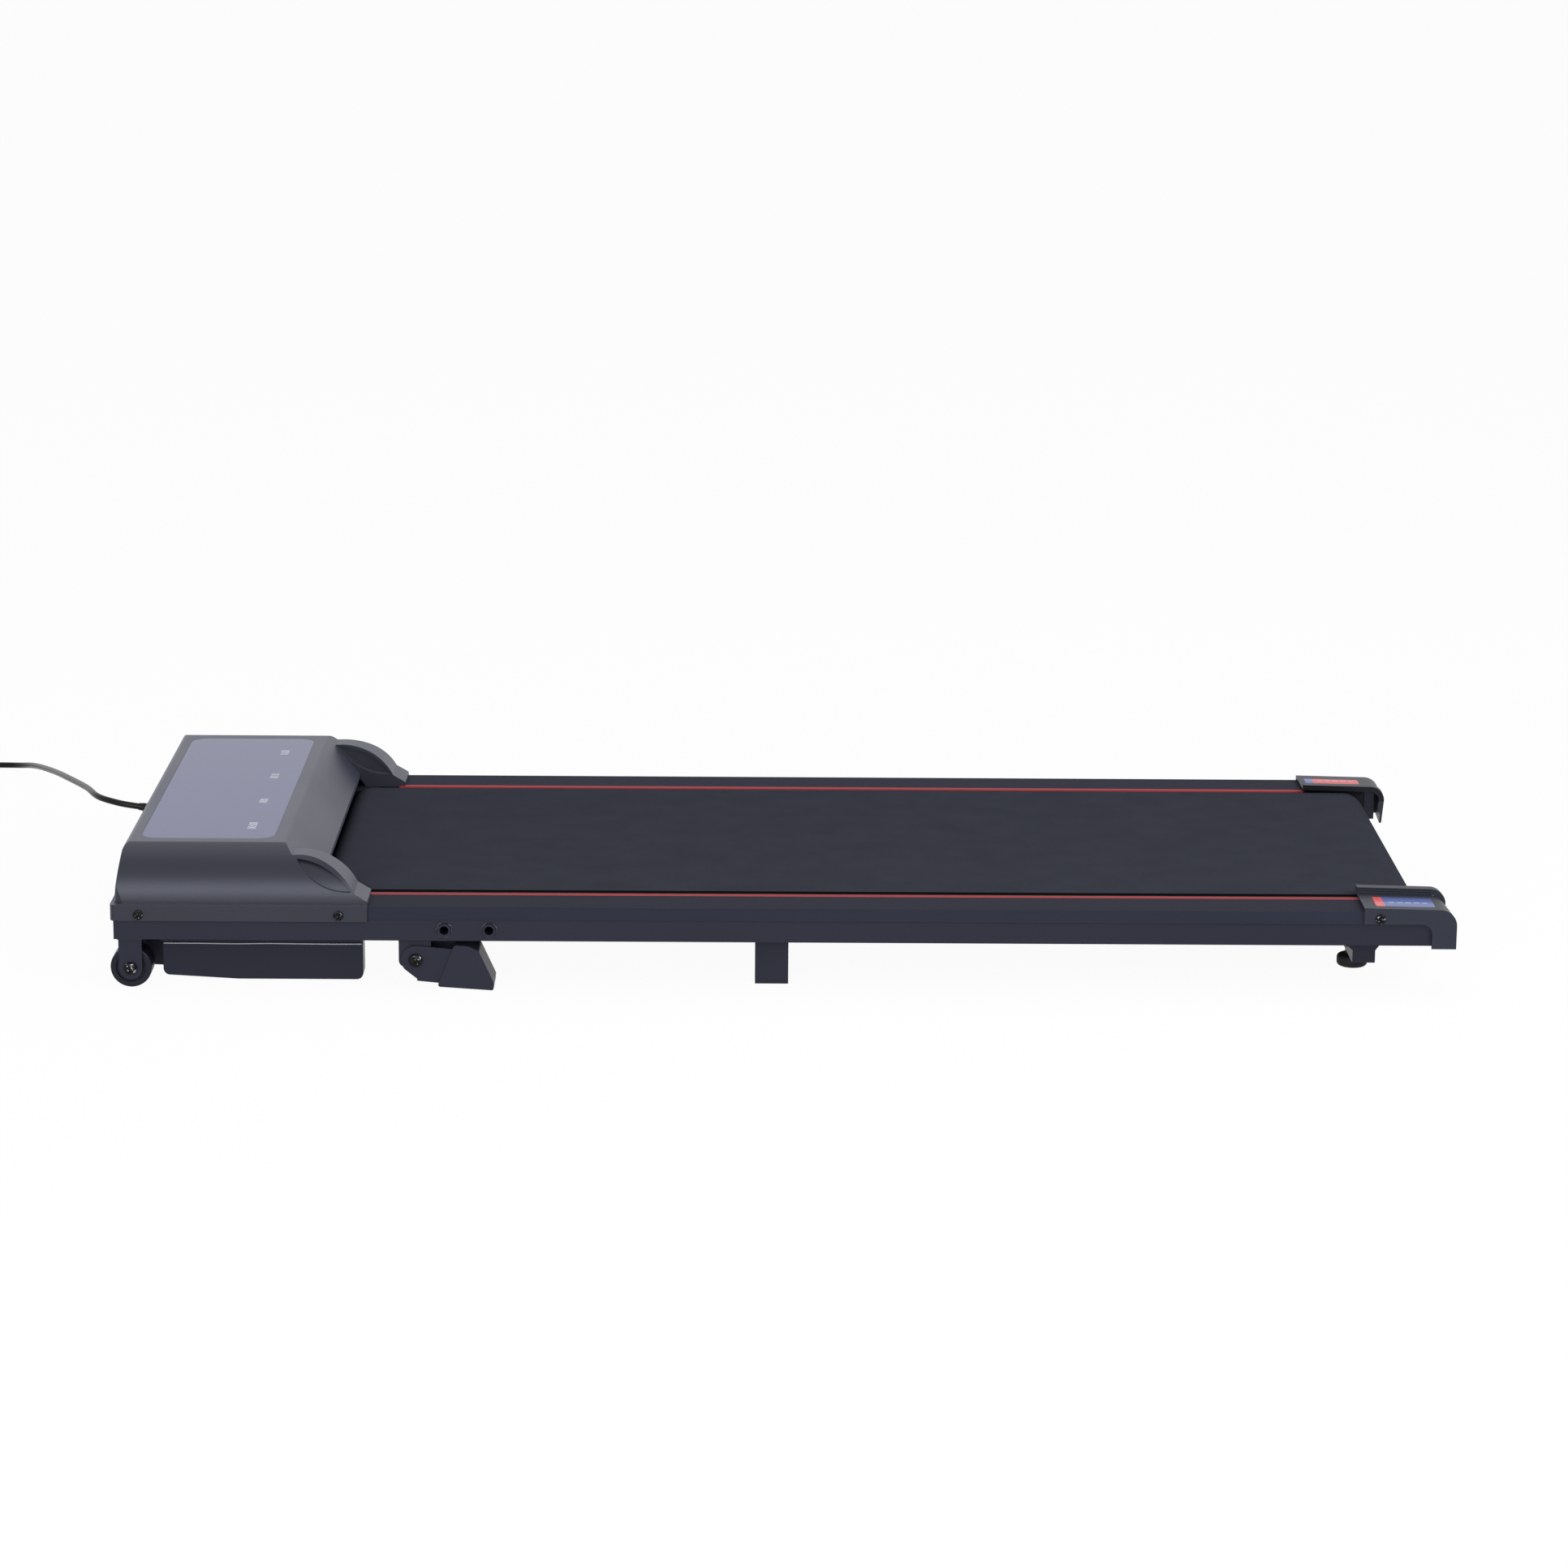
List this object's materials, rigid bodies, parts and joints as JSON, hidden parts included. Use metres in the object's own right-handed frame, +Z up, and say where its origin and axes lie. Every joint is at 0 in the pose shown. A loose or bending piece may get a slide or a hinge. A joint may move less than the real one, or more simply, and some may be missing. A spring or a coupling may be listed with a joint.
{
  "type": "walking pad",
  "caption": "Low walking pad with a running belt over a deck between tube rails, a rounded motor hood with a display, transport wheels, folding incline feet and rear end caps.",
  "frame": {"origin": "on the floor under the middle of the pad's length and width, without the mains lead", "axes": "+X along the pad from the motor hood to the rear roller, +Y to the walker's right, +Z up"},
  "size_m": [1.5483, 0.8584, 0.127],
  "materials": {
    "frame_paint": "satin blue-black powder coat",
    "rail_paint": "satin blue-black",
    "red_line": "plain red strip",
    "cap_plastic": "fine grained moulding",
    "hood_plastic": "satin moulding with a fine grain",
    "lens_plastic": "polished dark window",
    "board_green": "solder mask",
    "tray_plastic": "plain moulding",
    "dark_screw": "black zinc",
    "bright_steel": "turned",
    "motor_paint": "gloss black",
    "core_iron": "laminated",
    "pulley_metal": "turned",
    "drive_rubber": "ribbed",
    "belt_rubber": "fine woven grain",
    "deck_wood": "waxed fibreboard",
    "soft_rubber": "matt",
    "case_metal": "bare casting",
    "switch_plastic": "moulded",
    "cord_rubber": "smooth sheath",
    "plug_plastic": "moulded",
    "tie_fabric": "hook and loop strap",
    "wheel_plastic": "hard wearing",
    "boot_plastic": "moulded"
  },
  "bodies": {
    "frame": {"left_side_tube": "frame_paint", "right_side_tube": "frame_paint", "front_cross_plate": "frame_paint", "motor_cross_tubes": "frame_paint", "deck_cross_tubes": "frame_paint", "handrail_bosses": "frame_paint", "left_foot_rail": "rail_paint", "right_foot_rail": "rail_paint", "red_stripes": "red_line", "left_end_cap": "cap_plastic", "right_end_cap": "cap_plastic", "end_cap_screws": "dark_screw", "motor_hood": "hood_plastic", "hood_screws": "dark_screw", "display_lens": "lens_plastic", "display_board": "board_green", "motor_tray": "tray_plastic", "tray_screws": "dark_screw", "motor_can": "motor_paint", "motor_saddle": "frame_paint", "motor_clamp": "frame_paint", "motor_bolts": "bright_steel", "motor_controller": "case_metal", "drive_belt": "drive_rubber", "front_axle": "bright_steel", "running_belt": "belt_rubber", "running_deck": "deck_wood", "deck_cushions": "soft_rubber", "deck_screws": "bright_steel", "switch_housing": "switch_plastic", "cord_gland": "cord_rubber", "power_cord": "cord_rubber", "cord_coil": "cord_rubber", "coil_tie": "tie_fabric", "power_plug": "plug_plastic", "wheel_forks": "frame_paint", "wheel_axle_bolts": "dark_screw", "incline_brackets": "frame_paint", "incline_pivot_bolts": "dark_screw", "frame_legs": "frame_paint", "rubber_feet": "soft_rubber"},
    "front_roller": {"front_roller": "bright_steel", "front_bearings": "bright_steel", "roller_pulley": "pulley_metal"},
    "motor_rotor": {"motor_rotor": "core_iron", "motor_shaft": "bright_steel", "motor_pulley": "pulley_metal", "flywheel_fan": "core_iron"},
    "rear_axle": {"rear_axle": "bright_steel"},
    "rear_roller": {"rear_roller": "bright_steel", "rear_bearings": "bright_steel"},
    "left_adjuster": {"left_adjuster_bolt": "dark_screw"},
    "right_adjuster": {"right_adjuster_bolt": "dark_screw"},
    "left_wheel": {"left_wheel": "wheel_plastic"},
    "right_wheel": {"right_wheel": "wheel_plastic"},
    "left_incline": {"left_incline_leg": "frame_paint", "left_incline_boot": "boot_plastic"},
    "right_incline": {"right_incline_leg": "frame_paint", "right_incline_boot": "boot_plastic"},
    "power_rocker": {"power_rocker": "switch_plastic"}
  },
  "joints": [
    {"name": "front_roller_spin", "type": "hinge", "parent": "frame", "child": "front_roller", "pos_m": [-0.402, 0, 0.0569], "axis": [0, 1, 0], "continuous": true},
    {"name": "motor_spin", "type": "hinge", "parent": "frame", "child": "motor_rotor", "pos_m": [-0.5085, 0, 0.062], "axis": [0, 1, 0], "continuous": true},
    {"name": "rear_axle_slide", "type": "slide", "parent": "frame", "child": "rear_axle", "axis": [1, 0, 0], "range_m": [-0.004, 0.004], "deforming": ["running_belt"]},
    {"name": "rear_roller_spin", "type": "hinge", "parent": "rear_axle", "child": "rear_roller", "pos_m": [0.556, 0, 0.0569], "axis": [0, 1, 0], "continuous": true},
    {"name": "left_adjuster_turn", "type": "hinge", "parent": "frame", "child": "left_adjuster", "pos_m": [0.578, -0.231, 0.0569], "axis": [1, 0, 0], "continuous": true},
    {"name": "right_adjuster_turn", "type": "hinge", "parent": "frame", "child": "right_adjuster", "pos_m": [0.578, 0.231, 0.0569], "axis": [1, 0, 0], "continuous": true},
    {"name": "left_wheel_spin", "type": "hinge", "parent": "frame", "child": "left_wheel", "pos_m": [-0.584, -0.2315, 0.0185], "axis": [0, 1, 0], "continuous": true},
    {"name": "right_wheel_spin", "type": "hinge", "parent": "frame", "child": "right_wheel", "pos_m": [-0.584, 0.2315, 0.0185], "axis": [0, 1, 0], "continuous": true},
    {"name": "left_incline_swing", "type": "hinge", "parent": "frame", "child": "left_incline", "pos_m": [-0.3293, -0.231, 0.0274], "axis": [0, 1, 0], "range_deg": [0, 95]},
    {"name": "right_incline_swing", "type": "hinge", "parent": "frame", "child": "right_incline", "pos_m": [-0.3293, 0.231, 0.0274], "axis": [0, 1, 0], "range_deg": [0, 95]},
    {"name": "power_rocker_tilt", "type": "hinge", "parent": "frame", "child": "power_rocker", "pos_m": [-0.5925, 0.128, 0.0936], "axis": [0, 1, 0], "range_deg": [0, 18]}
  ],
  "couplings": [
    {"joint": "motor_spin", "follows": "front_roller_spin", "ratio": 2},
    {"joint": "rear_roller_spin", "follows": "front_roller_spin", "ratio": 1},
    {"joint": "left_adjuster_turn", "follows": "rear_axle_slide", "rad_per_m": 5026.5},
    {"joint": "right_adjuster_turn", "follows": "rear_axle_slide", "rad_per_m": 5026.5}
  ]
}
